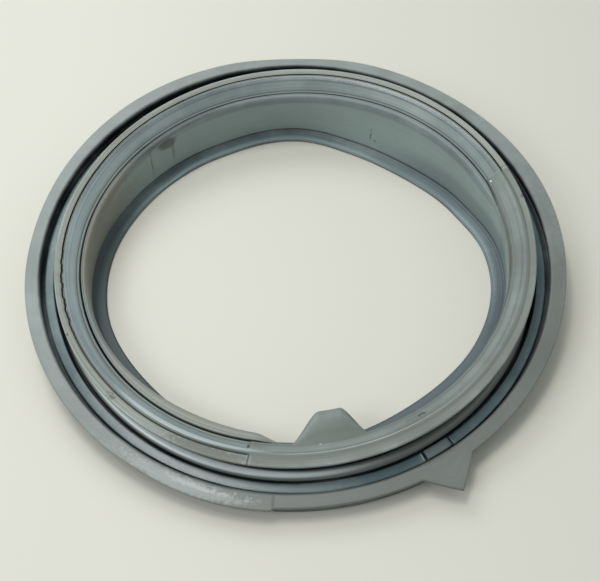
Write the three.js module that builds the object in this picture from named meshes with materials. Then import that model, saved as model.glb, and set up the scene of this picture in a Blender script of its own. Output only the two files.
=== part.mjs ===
// A front-loading washing machine's door seal: one ring of grey moulded rubber.
// It lies on its soft lip, with the side that faces the tub turned up. It is deeper on
// the far side than on the near side, as the seal of a slanting drum is, so it leans.
// Millimetres, +Z up. The origin is on the floor, under the middle of the ring.
// Angles are degrees, anticlockwise from +X seen from above, with the near side at 270.
import * as THREE from 'three';

const radians = THREE.MathUtils.degToRad;
const mix = THREE.MathUtils.lerp;

// Tub rim: a broad flange over a body with ribs outside, which a spring clamp squeezes
const RIM_RADIUS = 200;
const RIM_DEPTH = 13;
const RIM_OVERHANG = 3.4;
const FLANGE_WIDTH = 11;
const FLANGE_THICKNESS = 3;
const EDGE_ROUND = 0.7;
const CLAMP_RIBS = 3;
const CLAMP_RIB = 1.5;

// Groove that runs under the flange's inner edge down to its sole, and the flat step inside
const GROOVE_MOUTH = 1.6;
const GROOVE_WIDTH = 4.8;
const GROOVE_SOLE = 2.4;
const STEP_WIDTH = 7;
const STEP_DROP = 7.5;

// Bellows: two narrow folds and between them a round crest, which stands above the rim's
// underside, all of one wall
const WALL = 2.1;
const FOLD_GAP = 2.2;
const CREST_WIDTH = 7.2;
const CREST_RISE = 5;

// Head: the raised ring that hangs over the folds and slopes down to its collar
const HEAD_RISE = 10.3;
const HEAD_OVERHANG = 8;
const HEAD_EDGE = 3.8;
const HEAD_WIDTH = 16.7;
const HEAD_BAND = 5;
const HEAD_BAND_DROP = 1.9;
const HEAD_SLIT_WIDTH = 1;
const HEAD_SLIT_DEPTH = 2.2;
const LEDGE_INSET = 9.6;
const LEDGE_DROP = 3.4;
const LEDGE_STEP = 1.1;

// Collar at the head's inner edge, cut loose from the sleeve's roll by the second slit
const COLLAR_DROP = 9.1;
const COLLAR_BEVEL_WIDTH = 2.4;
const COLLAR_BEVEL_RISE = 0.9;
const COLLAR_SLIT_DEPTH = 5;
const COLLAR_SLIT_WIDTH = 1.3;
const ROLL_WIDTH = 4.4;
const ROLL_STAND = 3.6;
const SHOULDER_THICKNESS = 4.4;
const SHOULDER_RUN = 6.3;

// Sleeve that hangs from the collar, with a bead and a thin lip at its foot
const SLEEVE_WALL = 2.4;
const BEAD_INSET = 2.7;
const BEAD_WIDTH = 2.6;
const BEAD_HEIGHT = 4.2;
const BEAD_SHOULDER = 3;
const LIP_WIDTH = 10.4;
const LIP_THICKNESS = 1.5;

// Leans up towards the far side and rolls up towards the right, in degrees, and the slide
// of the folds' floor towards the far side, which keeps it under the leaning rim
const RIM_LEAN = 6.1;
const HEAD_LEAN = 5.5;
const HEAD_ROLL = 1;
const COLLAR_LEAN = 4.8;
const COLLAR_ROLL = 1.2;
const FOLD_LEAN = 2.9;
const FOLD_SLIDE = 1.3;
const FLOOR_CLEARANCE = 0.6;

// Plain arc of the head, where both slits are filled and the sleeve's roll fades out
const PLAIN_FROM = 259.2;
const PLAIN_TO = 379.2;
const PLAIN_STEP = 0.5;
const ROLL_FADE = 9;

// Pointed tab on the flange, which is lined up with a mark on the tub
const TAB_FROM = 293.3;
const TAB_AT = 298.6;
const TAB_TO = 304.3;
const TAB_REACH = 17;

// Block across the step, in line with the tab, with a fine cut on each side
const BLOCK_FROM = 296.7;
const BLOCK_TO = 302.7;
const BLOCK_RISE = 1.6;
const BLOCK_CUT = 0.3;
const BLOCK_CUT_DEPTH = 1;

// Flap that reaches inwards from the collar and rises a little
const FLAP_FROM = 269;
const FLAP_TOP_FROM = 275.4;
const FLAP_TOP_TO = 281.8;
const FLAP_TO = 286.2;
const FLAP_REACH = 19;
const FLAP_RISE = 5;
const FLAP_THICKNESS = 2.4;

// Joint mark of the moulding: the flange's edge steps in there and runs out again
const MARK_AT = 265.1;
const MARK_STEP = 1.8;
const MARK_RUN_OUT = 75;

// Set of the soft rubber: angle, half width in degrees, and push, outwards if positive
const FLANGE_WAVES = [
  [15, 40, 2.5],
  [89, 18, -2.4],
  [128, 34, 2],
  [172, 20, -0.8],
  [256, 22, 1.4],
];
const LIP_SAG = [
  [20, 14, -2],
  [50, 38, -7.6],
  [92, 24, 5.6],
  [112, 20, 1],
  [150, 30, -1.3],
  [221, 29, -2.9],
  [303, 28, -3.2],
  [356, 40, 5.4],
];
const ROLL_SAG = [[243, 42, -3.4]];
const LIP_KINK = [[135.4, 10.5, -4.6]];
const HEAD_OVAL = 0.9;
const HEAD_OVAL_AT = 15;

// Crease in the sleeve's wall under the roll, steep at one end and running out at the other
const CREASE_FROM = 130.3;
const CREASE_AT = 138.6;
const CREASE_TO = 139.6;
const CREASE_DEPTH = 5.5;
const CREASE_HEAD = 3.6;

// Spacing of the section's copies round the ring, in degrees
const EVEN_STEP = 7.2;
const CLOSEST_STEP = 1.8;

const RUBBER = new THREE.MeshStandardMaterial({
  color: 0x7f8b8c,
  roughness: 0.55,
  metalness: 0,
});

// Radii, each one worked out inwards from the rim
const FLANGE_INNER = RIM_RADIUS - FLANGE_WIDTH;
const STEP_OUTER = FLANGE_INNER - GROOVE_MOUTH;
const STEP_INNER = STEP_OUTER - STEP_WIDTH;
const CREST_OUTER = STEP_INNER - EDGE_ROUND - FOLD_GAP;
const CREST_MIDDLE = CREST_OUTER - CREST_WIDTH / 2;
const CREST_INNER = CREST_OUTER - CREST_WIDTH;
const NECK_RADIUS = CREST_INNER - FOLD_GAP;
const HEAD_RADIUS = NECK_RADIUS + HEAD_OVERHANG;
const COLLAR_RADIUS = HEAD_RADIUS - HEAD_WIDTH;
const BEAD_RADIUS = COLLAR_RADIUS - BEAD_INSET;
const LIP_RADIUS = BEAD_RADIUS - LIP_WIDTH;

// Depths under the rim's face
const GROOVE_DEPTH = RIM_DEPTH - GROOVE_SOLE;
const CREST_DROP = RIM_DEPTH - CREST_RISE;

// Heights over the floor at the middle: the rim and the folds just clear it at the near side
const nearDip = (radius, lean) => radius * Math.sin(radians(lean));
const RIM_HEIGHT = RIM_DEPTH + nearDip(RIM_RADIUS, RIM_LEAN) + FLOOR_CLEARANCE;
const FOLD_HEIGHT = WALL + nearDip(STEP_INNER, FOLD_LEAN) + FLOOR_CLEARANCE / 2;
const HEAD_HEIGHT = RIM_HEIGHT + HEAD_RISE;
const COLLAR_HEIGHT = HEAD_HEIGHT - COLLAR_DROP;

// A plane that leans about X and rolls about Y, its middle above the origin or slid along Y
function plane(height, lean, roll = 0, slide = 0) {
  const turn = new THREE.Euler(radians(lean), radians(-roll), 0);
  return new THREE.Matrix4().makeRotationFromEuler(turn).setPosition(0, slide, height);
}

const RIM = plane(RIM_HEIGHT, RIM_LEAN);
const HEAD = plane(HEAD_HEIGHT, HEAD_LEAN, HEAD_ROLL);
const COLLAR = plane(COLLAR_HEIGHT, COLLAR_LEAN, COLLAR_ROLL);
const FOLD = plane(FOLD_HEIGHT, FOLD_LEAN, 0, FOLD_SLIDE);
const FLOOR = plane(0, 0);

// Signed turn from one angle to another, between -180 and 180
function turnFrom(centre, angle) {
  return THREE.MathUtils.euclideanModulo(angle - centre + 180, 360) - 180;
}

// A smooth rise to 1 at the centre that ends half a width to either side
function swell(angle, centre, half) {
  const away = Math.abs(turnFrom(centre, angle));
  return away < half ? 0.5 + 0.5 * Math.cos((Math.PI * away) / half) : 0;
}

function sag(list) {
  return (angle) => list.reduce((sum, [at, half, push]) => sum + push * swell(angle, at, half), 0);
}

// 1 between two angles and 0 outside them, with a straight ramp over each of the two
function between(angle, from, to, ramp) {
  const away = Math.abs(turnFrom((from + to) / 2, angle));
  return THREE.MathUtils.clamp(((to - from) / 2 + ramp / 2 - away) / ramp, 0, 1);
}

const still = () => 0;
const grooved = (angle) => 1 - between(angle, PLAIN_FROM, PLAIN_TO, PLAIN_STEP);
const rolled = (angle) => {
  const faded = between(angle, PLAIN_FROM + ROLL_FADE / 2, PLAIN_TO - ROLL_FADE / 2, ROLL_FADE);
  return THREE.MathUtils.smoothstep(1 - faded, 0, 1);
};
const flangePush = sag(FLANGE_WAVES);
const lipPush = sag(LIP_SAG);
const kinkPush = sag(LIP_KINK);
const rollPush = sag(ROLL_SAG);
const oval = (angle) => HEAD_OVAL * Math.cos(2 * radians(angle - HEAD_OVAL_AT));

// Share of the crease's depth at an angle
function crease(angle) {
  const away = turnFrom(CREASE_AT, angle);
  const side = away < 0 ? CREASE_AT - CREASE_FROM : CREASE_TO - CREASE_AT;
  return Math.max(0, 1 - Math.abs(away) / side);
}

function tab(angle) {
  const away = turnFrom(TAB_AT, angle);
  const side = away < 0 ? TAB_AT - TAB_FROM : TAB_TO - TAB_AT;
  return TAB_REACH * Math.max(0, 1 - Math.abs(away) / side);
}

function markStep(angle) {
  const past = turnFrom(MARK_AT, angle);
  return past > 0 ? -MARK_STEP * Math.max(0, 1 - past / MARK_RUN_OUT) : 0;
}

function block(angle) {
  const top = between(angle, BLOCK_FROM, BLOCK_TO, BLOCK_CUT);
  const withCuts = between(angle, BLOCK_FROM - 2 * BLOCK_CUT, BLOCK_TO + 2 * BLOCK_CUT, BLOCK_CUT);
  return top * (BLOCK_RISE + BLOCK_CUT_DEPTH) - withCuts * BLOCK_CUT_DEPTH;
}

// Share of the flap's reach at an angle: 0 at its feet, 1 along its top
function flap(angle) {
  const rise = THREE.MathUtils.smoothstep(angle, FLAP_FROM, FLAP_TOP_FROM);
  const fall = 1 - THREE.MathUtils.smoothstep(angle, FLAP_TOP_TO, FLAP_TO);
  return Math.min(rise, fall);
}

// One ring of the section, which gives its point at an angle: its plane, its radius and
// height there, and how far the two move with the angle
function ring(on, radius, height, push = still, lift = still) {
  return (angle) => {
    const r = radius + push(angle);
    const a = radians(angle);
    const point = new THREE.Vector3(r * Math.cos(a), r * Math.sin(a), height + lift(angle));
    return point.applyMatrix4(on);
  };
}

// Outer side of the rim: the ribs of the clamp seat, and the flange's edge with its tab
function rimOutside() {
  const seat = RIM_RADIUS - RIM_OVERHANG;
  const edge = (angle) => markStep(angle) + tab(angle) + flangePush(angle);
  const pitch = (RIM_DEPTH - FLANGE_THICKNESS - 2 * EDGE_ROUND) / CLAMP_RIBS;
  const ribs = [];
  for (let rib = 0; rib < CLAMP_RIBS; rib += 1) {
    const foot = EDGE_ROUND - RIM_DEPTH + rib * pitch;
    ribs.push(ring(RIM, seat, foot));
    ribs.push(ring(RIM, seat + CLAMP_RIB, foot + pitch / 2));
  }
  return [
    ring(RIM, seat - 2 * EDGE_ROUND, -RIM_DEPTH),
    ...ribs,
    ring(RIM, seat, -FLANGE_THICKNESS - EDGE_ROUND, tab),
    ring(RIM, RIM_RADIUS - EDGE_ROUND, -FLANGE_THICKNESS, edge),
    ring(RIM, RIM_RADIUS, -FLANGE_THICKNESS / 2, edge),
    ring(RIM, RIM_RADIUS - EDGE_ROUND, 0, edge),
  ];
}

// Flat top of the flange, its rounded inner edge, and the groove that undercuts it
function flangeAndGroove() {
  const outer = STEP_OUTER + GROOVE_WIDTH;
  return [
    ring(RIM, FLANGE_INNER + 4 * EDGE_ROUND, 0),
    ring(RIM, FLANGE_INNER + EDGE_ROUND, -EDGE_ROUND),
    ring(RIM, FLANGE_INNER, -FLANGE_THICKNESS + EDGE_ROUND),
    ring(RIM, FLANGE_INNER + EDGE_ROUND, -FLANGE_THICKNESS - EDGE_ROUND),
    ring(RIM, outer, -FLANGE_THICKNESS - 3 * EDGE_ROUND),
    ring(RIM, outer, -GROOVE_DEPTH),
    ring(RIM, STEP_OUTER + EDGE_ROUND, -GROOVE_DEPTH),
  ];
}

// Flat step, with the block across it
function step() {
  const low = -STEP_DROP - EDGE_ROUND;
  return [
    ring(RIM, STEP_OUTER, low, still, block),
    ring(RIM, STEP_OUTER - EDGE_ROUND, -STEP_DROP, still, block),
    ring(RIM, STEP_INNER + EDGE_ROUND, -STEP_DROP, still, block),
    ring(RIM, STEP_INNER, low, still, block),
  ];
}

// A fold's floor between two skirts, seen from above or, a wall lower, from below
function foldFloor(outer, inner, height) {
  const corner = height + FOLD_GAP / 2;
  return [
    ring(FOLD, outer, corner),
    ring(FOLD, (outer + inner) / 2, height),
    ring(FOLD, inner, corner),
  ];
}

// Round top of a crest of the given half width, at angles of the rounding from the outside
function crest(half, top, angles) {
  return angles.map((angle) => {
    const a = radians(angle);
    return ring(RIM, CREST_MIDDLE + half * Math.cos(a), top - half + half * Math.sin(a));
  });
}

function bellowsTop() {
  return [
    ...foldFloor(CREST_OUTER + FOLD_GAP, CREST_OUTER, 0),
    ...crest(CREST_WIDTH / 2, -CREST_DROP, [30, 60, 90, 120, 150]),
    ...foldFloor(CREST_INNER, NECK_RADIUS, 0),
  ];
}

// Head: its overhang and flat outer band, the first slit, and the stepped slope inside it
function head() {
  const slit = HEAD_RADIUS - HEAD_BAND;
  const ledge = HEAD_RADIUS - LEDGE_INSET;
  const cut = (angle) => -HEAD_SLIT_DEPTH * grooved(angle);
  return [
    ring(HEAD, NECK_RADIUS, -HEAD_EDGE - FOLD_GAP, oval),
    ring(HEAD, HEAD_RADIUS - 2 * EDGE_ROUND, -HEAD_EDGE, oval),
    ring(HEAD, HEAD_RADIUS, -HEAD_EDGE + 2 * EDGE_ROUND, oval),
    ring(HEAD, HEAD_RADIUS, -EDGE_ROUND, oval),
    ring(HEAD, HEAD_RADIUS - EDGE_ROUND, 0, oval),
    ring(HEAD, slit + HEAD_SLIT_WIDTH / 2, -HEAD_BAND_DROP, oval),
    ring(HEAD, slit, -HEAD_BAND_DROP, oval, cut),
    ring(HEAD, slit - HEAD_SLIT_WIDTH / 2, -HEAD_BAND_DROP, oval),
    ring(HEAD, ledge, -LEDGE_DROP, oval),
    ring(HEAD, ledge - LEDGE_STEP / 2, -LEDGE_DROP - LEDGE_STEP, oval),
  ];
}

// Underside of the collar's edge and of the flap, which the second slit and the roll follow
const UNDER_COLLAR = -FLAP_THICKNESS - EDGE_ROUND;

// A ring on the roll, at a share of its width and a drop from its top edge
function onRoll(share, drop) {
  const reach = (angle) => oval(angle) + rolled(angle) * share * (rollPush(angle) - ROLL_WIDTH);
  const stand = (angle) => (ROLL_STAND - drop / 4) * rolled(angle);
  return ring(COLLAR, COLLAR_RADIUS - COLLAR_SLIT_WIDTH, UNDER_COLLAR - drop, reach, stand);
}

// Ends of the sleeve's bare wall
const WALL_HEAD = onRoll(1, 4 * EDGE_ROUND);
const WALL_FOOT = ring(FLOOR, BEAD_RADIUS - EDGE_ROUND, BEAD_HEIGHT + BEAD_SHOULDER, lipPush);

// A ring at a run down the wall from its head, on its front or a thickness behind it. The
// crease pushes both outwards, by less the nearer the foot.
function onWall(run, thickness) {
  return (angle) => {
    const head = WALL_HEAD(angle);
    const foot = WALL_FOOT(angle);
    const share = run / head.distanceTo(foot);
    const push = thickness + CREASE_DEPTH * crease(angle) * (1 - share);
    const a = radians(angle);
    const outwards = new THREE.Vector3(Math.cos(a), Math.sin(a), 0);
    return head.lerp(foot, share).addScaledVector(outwards, push);
  };
}

// Collar: its edge with the flap, the second slit, and the roll at the sleeve's head
function collar() {
  const edge = (angle) => oval(angle) - FLAP_REACH * flap(angle);
  const lift = (angle) => FLAP_RISE * flap(angle);
  const cut = (angle) => -COLLAR_SLIT_DEPTH * grooved(angle);
  const slit = COLLAR_RADIUS - COLLAR_SLIT_WIDTH / 2;
  return [
    ring(COLLAR, COLLAR_RADIUS + COLLAR_BEVEL_WIDTH, COLLAR_BEVEL_RISE, oval),
    ring(COLLAR, COLLAR_RADIUS + EDGE_ROUND, 0, edge, lift),
    ring(COLLAR, COLLAR_RADIUS, -FLAP_THICKNESS, edge, lift),
    ring(COLLAR, slit, UNDER_COLLAR, oval, cut),
    onRoll(0, 0),
    onRoll(0.75, EDGE_ROUND),
    WALL_HEAD,
  ];
}

// Sleeve's wall with its crease, its foot, bead and lip, then the flat underside it lies on
function sleeveAndLip() {
  const rootPush = (angle) => lipPush(angle) + kinkPush(angle);
  const lipRoot = BEAD_HEIGHT - 2 * EDGE_ROUND;
  return [
    onWall(CREASE_HEAD, 0),
    WALL_FOOT,
    ring(FLOOR, BEAD_RADIUS, BEAD_HEIGHT + EDGE_ROUND, lipPush),
    ring(FLOOR, BEAD_RADIUS - BEAD_WIDTH / 2, BEAD_HEIGHT, lipPush),
    ring(FLOOR, BEAD_RADIUS - BEAD_WIDTH, lipRoot, rootPush),
    ring(FLOOR, LIP_RADIUS + EDGE_ROUND / 2, LIP_THICKNESS, lipPush),
    ring(FLOOR, LIP_RADIUS, LIP_THICKNESS / 2, lipPush),
    ring(FLOOR, LIP_RADIUS + EDGE_ROUND / 2, 0, lipPush),
    ring(FLOOR, BEAD_RADIUS - EDGE_ROUND, 0, lipPush),
    ring(FLOOR, BEAD_RADIUS - EDGE_ROUND + SLEEVE_WALL, LIP_THICKNESS, lipPush),
  ];
}

// Outer face of the sleeve and underside of the head, folds and step, a wall away from
// what is seen from above
function underside() {
  const shoulder = -COLLAR_SLIT_DEPTH - SHOULDER_THICKNESS;
  const low = -STEP_DROP - WALL - EDGE_ROUND;
  return [
    onWall(SHOULDER_RUN, SLEEVE_WALL),
    ring(COLLAR, COLLAR_RADIUS + 2 * SLEEVE_WALL, shoulder, oval),
    ring(HEAD, NECK_RADIUS - WALL, -HEAD_EDGE - FOLD_GAP - WALL, oval),
    ...foldFloor(NECK_RADIUS - WALL, CREST_INNER + WALL, -WALL),
    ...crest(CREST_WIDTH / 2 - WALL, -CREST_DROP - WALL, [150, 90, 30]),
    ...foldFloor(CREST_OUTER - WALL, CREST_OUTER + FOLD_GAP + WALL, -WALL),
    ring(RIM, STEP_INNER + WALL, low),
    ring(RIM, STEP_OUTER - 2 * EDGE_ROUND, low),
    ring(RIM, STEP_OUTER - EDGE_ROUND, -RIM_DEPTH),
  ];
}

// Angles of the section's copies: even steps, and one at each corner of a local feature
function sectionAngles() {
  const corners = [
    MARK_AT,
    MARK_AT + 0.4,
    TAB_FROM,
    TAB_AT,
    TAB_TO,
    FLAP_FROM,
    mix(FLAP_FROM, FLAP_TOP_FROM, 0.5),
    FLAP_TOP_FROM,
    FLAP_TOP_TO,
    mix(FLAP_TOP_TO, FLAP_TO, 0.5),
    FLAP_TO,
    CREASE_FROM,
    CREASE_AT,
    CREASE_TO,
  ];
  for (const end of [PLAIN_FROM, PLAIN_TO]) {
    corners.push(end - PLAIN_STEP / 2, end + PLAIN_STEP / 2);
  }
  for (const [end, side] of [[BLOCK_FROM, -1], [BLOCK_TO, 1]]) {
    for (const cuts of [-0.5, 0.5, 1.5, 2.5]) {
      corners.push(end + side * cuts * BLOCK_CUT);
    }
  }
  const even = Array.from({ length: 360 / EVEN_STEP }, (_, k) => k * EVEN_STEP);
  const clear = even.filter((a) => corners.every((c) => Math.abs(turnFrom(c, a)) > CLOSEST_STEP));
  const all = [...clear, ...corners].map((a) => THREE.MathUtils.euclideanModulo(a, 360));
  return all.sort((a, b) => a - b);
}

// Sweeps the closed section once round and joins the last copy to the first
function sweptRing(section, angles) {
  const positions = angles.flatMap((angle) => section.flatMap((at) => at(angle).toArray()));
  const index = [];
  const size = section.length;
  angles.forEach((_, i) => {
    const here = i * size;
    const next = ((i + 1) % angles.length) * size;
    for (let j = 0; j < size; j += 1) {
      const k = (j + 1) % size;
      index.push(here + j, next + j, next + k, here + j, next + k, here + k);
    }
  });
  const geometry = new THREE.BufferGeometry();
  geometry.setAttribute('position', new THREE.Float32BufferAttribute(positions, 3));
  geometry.setIndex(index);
  geometry.computeVertexNormals();
  return geometry;
}

const section = [
  ...rimOutside(),
  ...flangeAndGroove(),
  ...step(),
  ...bellowsTop(),
  ...head(),
  ...collar(),
  ...sleeveAndLip(),
  ...underside(),
];

const seal = new THREE.Mesh(sweptRing(section, sectionAngles()), RUBBER);
seal.name = 'door_seal';

const object = new THREE.Group();
object.add(seal);

export default object;
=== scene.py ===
import math

import bpy
from mathutils import Matrix, Vector


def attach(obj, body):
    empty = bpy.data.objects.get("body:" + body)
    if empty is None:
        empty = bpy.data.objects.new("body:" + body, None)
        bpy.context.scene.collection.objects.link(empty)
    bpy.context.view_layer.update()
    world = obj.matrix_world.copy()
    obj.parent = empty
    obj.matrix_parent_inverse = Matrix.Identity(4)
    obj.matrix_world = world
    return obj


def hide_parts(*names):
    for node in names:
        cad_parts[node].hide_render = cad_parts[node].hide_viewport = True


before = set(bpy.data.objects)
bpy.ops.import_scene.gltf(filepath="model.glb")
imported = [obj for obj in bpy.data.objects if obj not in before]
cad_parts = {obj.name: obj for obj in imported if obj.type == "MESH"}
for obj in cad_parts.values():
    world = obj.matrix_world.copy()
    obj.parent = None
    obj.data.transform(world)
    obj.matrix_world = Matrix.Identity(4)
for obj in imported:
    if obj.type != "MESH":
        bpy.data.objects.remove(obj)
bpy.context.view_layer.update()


# The view: a seal on a white table, seen from the near side and well above. The picture is
# 600 wide and 581 high, taken with a lens of 48 mm on a 36 mm frame, a little out of level.
camera_data = bpy.data.cameras.new("camera")
camera_data.lens = 48
camera_data.sensor_width = 36
camera = bpy.data.objects.new("camera", camera_data)
camera.matrix_world = (
    Matrix.Translation((0.003526, -0.391296, 0.490798))
    @ Matrix.Rotation(math.radians(37.33), 4, "X")
    @ Matrix.Rotation(math.radians(-1.41), 4, "Z")
)
bpy.context.scene.collection.objects.link(camera)
bpy.context.scene.camera = camera
bpy.context.scene.view_settings.view_transform = "Standard"


# Rim: the seal is one grey rubber moulding, so one closed line, swept once round, makes all
# of it. It starts at the rim, which a spring clamp squeezes onto the tub by the ribs
# outside. Its flange has a pointed tab, and a step at the joint of the mould.
MM = 0.001
RIM_RADIUS = 200
RIM_DEPTH = 13
RIM_OVERHANG = 3.4
RIM_LEAN = 6.1
FLANGE_WIDTH = 11
FLANGE_THICKNESS = 3
CLAMP_RIBS = 3
CLAMP_RIB = 1.5
TAB_REACH = 17
TAB_FROM = 293.3
TAB_AT = 298.6
TAB_TO = 304.3
JOINT_STEP = 1.8
JOINT_FROM = 264.9
JOINT_AT = 265.3
JOINT_TO = 340
EDGE_ROUND = 0.7
FLOOR_CLEARANCE = 0.6
FLANGE_INNER = RIM_RADIUS - FLANGE_WIDTH
RIM_HEIGHT = RIM_DEPTH + RIM_RADIUS * math.sin(math.radians(RIM_LEAN)) + FLOOR_CLEARANCE
# SHADED_GREY is painted shade: the rubber darkened under the flange and collar and in low notches.
SHADED_GREY = (0.04, 0.047, 0.047)
FLANGE_GREY = (0.182, 0.207, 0.198)
TONE = ("red", "green", "blue")

planes = {"rim": (RIM_HEIGHT, RIM_LEAN, 0, 0)}  # middle's height, lean, roll, slide along Y
pushes = {}  # what moves rings in or out round the seal: millimetres, and a curve of shares
lifts = {}  # what moves rings up or down, in the same way
section = []  # the closed line's rings in order, each with its band's name and its values
corners = []  # angles at which the sweep needs a copy of the section


def ring(plane, radius, height, corner=0.0, tone=None, at="", hollow=0.0, gloss=0.0, **shares):
    """Adds a ring to the section, in millimetres in its plane, with its shares of the moves.
    Its corner is cut back by a length, and its tone lasts until a ring has another."""
    middle, lean, roll, slide = planes[plane]
    values = {"radius": radius, "height": height, "middle": middle, "slide": slide}
    values.update({"lean": lean, "roll": roll, "corner": corner, "hollow": hollow, "gloss": gloss})
    tone = tone or [section[-1][1][key] for key in TONE]
    values.update(zip(TONE, tone))
    values.update({name.replace("_", " ").title(): share for name, share in shares.items()})
    section.append((at, values))


def turn_from(centre, angle):
    """Degrees from a centre to an angle, the short way round."""
    return (angle - centre + 180) % 360 - 180


def swell(angle, centre, half):
    """A smooth share: 1 at the centre, down to 0 at half its width from there."""
    away = abs(turn_from(centre, angle))
    return 0.5 + 0.5 * math.cos(math.pi * away / half) if away < half else 0.0


def swells(*waves):
    """A curve of several swells: each has its angle, its half width and its millimetres."""
    return lambda angle: sum(size * swell(angle, at, half) for at, half, size in waves)


def peak(angle, first, top, last):
    """A pointed share: 1 at the top, down to 0 at the first and the last angle."""
    away = turn_from(top, angle)
    return max(0, 1 - abs(away) / (top - first if away < 0 else last - top))


pushes["Tab Reach"] = (TAB_REACH, lambda angle: peak(angle, TAB_FROM, TAB_AT, TAB_TO))
pushes["Joint Step"] = (-JOINT_STEP, lambda angle: peak(angle, JOINT_FROM, JOINT_AT, JOINT_TO))
flange_set = swells((15, 40, 2.5), (89, 18, -2.4), (128, 34, 2), (172, 20, -0.8), (256, 22, 1.4))
pushes["Flange Set"] = (1, flange_set)
corners += [JOINT_AT - 0.2, JOINT_AT + 0.1, TAB_FROM, TAB_AT, TAB_TO]

seat = RIM_RADIUS - RIM_OVERHANG
ring("rim", seat - 2 * EDGE_ROUND, -RIM_DEPTH, 0.8, SHADED_GREY)
rib_pitch = (RIM_DEPTH - FLANGE_THICKNESS - 2 * EDGE_ROUND) / CLAMP_RIBS
for rib in range(CLAMP_RIBS):
    ring("rim", seat, EDGE_ROUND - RIM_DEPTH + rib * rib_pitch, 0.5)
    ring("rim", seat + CLAMP_RIB, EDGE_ROUND - RIM_DEPTH + (rib + 0.5) * rib_pitch, 0.5)
ring("rim", seat, -FLANGE_THICKNESS - EDGE_ROUND, 0.4, tab_reach=1)
edge_moves = {"tab_reach": 1, "joint_step": 1, "flange_set": 1}
ring("rim", RIM_RADIUS, -FLANGE_THICKNESS, 1.1, FLANGE_GREY, **edge_moves)
ring("rim", RIM_RADIUS, 0, 1.0, at="flange", **edge_moves)


# Groove and step: a groove runs under the flange's inner edge, which the tub's lip fills.
# The flat step inside it carries a small block in line with the tab, between two cuts.
GROOVE_MOUTH = 1.6
GROOVE_WIDTH = 4.8
GROOVE_SOLE = 2.4
STEP_WIDTH = 7
STEP_DROP = 7.5
BLOCK_FROM = 296.7
BLOCK_TO = 302.7
BLOCK_RISE = 1.6
BLOCK_FLANK = 0.2
BLOCK_CUT = 0.35
BLOCK_CUT_DEPTH = 1
BLOCK_MIDDLE = (BLOCK_FROM + BLOCK_TO) / 2
GROOVE_DEPTH = RIM_DEPTH - GROOVE_SOLE
STEP_OUTER = FLANGE_INNER - GROOVE_MOUTH
STEP_INNER = STEP_OUTER - STEP_WIDTH
# The groove's tone is painted shade: near black down the groove and off the step's inner edge.
GROOVE_SHADE = (0.01, 0.014, 0.017)
STEP_GREY = (0.062, 0.108, 0.12)


def between(angle, first, last, ramp):
    """A share that is 1 between two angles and 0 beyond them, with a ramp at each end."""
    away = abs(turn_from((first + last) / 2, angle))
    return min(max(((last - first) / 2 + ramp / 2 - away) / ramp, 0), 1)


def block_rise(angle):
    """Millimetres that the block stands over the step, and its cuts lie under it."""
    top = between(angle, BLOCK_FROM, BLOCK_TO, BLOCK_FLANK)
    with_cuts = between(angle, BLOCK_FROM - BLOCK_CUT, BLOCK_TO + BLOCK_CUT, BLOCK_FLANK)
    return top * (BLOCK_RISE + BLOCK_CUT_DEPTH) - with_cuts * BLOCK_CUT_DEPTH


lifts["Block Rise"] = (1, block_rise)
for end, side in ((BLOCK_FROM, -1), (BLOCK_TO, 1)):
    for flank in (0, BLOCK_CUT):
        corners += [end + side * (flank + off * BLOCK_FLANK) for off in (-0.5, 0.5)]

ring("rim", FLANGE_INNER + 0.2, 0, 2.2, GROOVE_SHADE)
ring("rim", FLANGE_INNER, -FLANGE_THICKNESS - 0.3, 1.3)
ring("rim", STEP_OUTER + GROOVE_WIDTH, -FLANGE_THICKNESS - 2.1, 0.8)
ring("rim", STEP_OUTER + GROOVE_WIDTH, -GROOVE_DEPTH, 1.2)
ring("rim", STEP_OUTER, -GROOVE_DEPTH, 0.6)
ring("rim", STEP_OUTER - 0.1, -STEP_DROP, 0.9, STEP_GREY, "step", gloss=1, block_rise=1)
ring("rim", STEP_INNER + 0.1, -STEP_DROP, 0.9, GROOVE_SHADE, block_rise=1)


# Bellows: two narrow folds with a round crest between them, all of one wall, which let the
# door's side of the seal move against the tub. The crest is a little fuller than the CAD's.
WALL = 2.1
FOLD_GAP = 2.2
FOLD_LEAN = 2.9
FOLD_SLIDE = 1.3
FOLD_CLEARANCE = 0.3
CREST_WIDTH = 7.2
CREST_RISE = 5
CREST_DROP = RIM_DEPTH - CREST_RISE
CREST_OUTER = STEP_INNER - EDGE_ROUND - FOLD_GAP
CREST_MIDDLE = CREST_OUTER - CREST_WIDTH / 2
CREST_INNER = CREST_OUTER - CREST_WIDTH
CREST_BULGE = 0.5
CREST_HALF = CREST_WIDTH / 2 + CREST_BULGE
NECK_RADIUS = CREST_INNER - FOLD_GAP
FOLD_HEIGHT = WALL + STEP_INNER * math.sin(math.radians(FOLD_LEAN)) + FOLD_CLEARANCE
# The folds' tone is painted shade: near black on the floors of the two narrow folds.
FOLD_SHADE = (0.015, 0.019, 0.022)
CREST_GREY = (0.2, 0.215, 0.195)
planes["fold"] = (FOLD_HEIGHT, FOLD_LEAN, 0, FOLD_SLIDE)


def fold_floor(outer, inner, height, tone=None):
    """The rounded bottom of a fold, from its outer side to its inner one."""
    ring("fold", outer, height + FOLD_GAP / 2, 0.4, tone)
    ring("fold", (outer + inner) / 2, height, 0.5)
    ring("fold", inner, height + FOLD_GAP / 2, 0.4)


def crest(middle, half, top, angles, tone=None, at=""):
    """Rings on a round crest, at angles from its outer side over its top."""
    for angle in angles:
        turn = math.radians(angle)
        height = top - half + half * math.sin(turn)
        ring("rim", middle + half * math.cos(turn), height, 0, tone, at, gloss=1.2)


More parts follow.
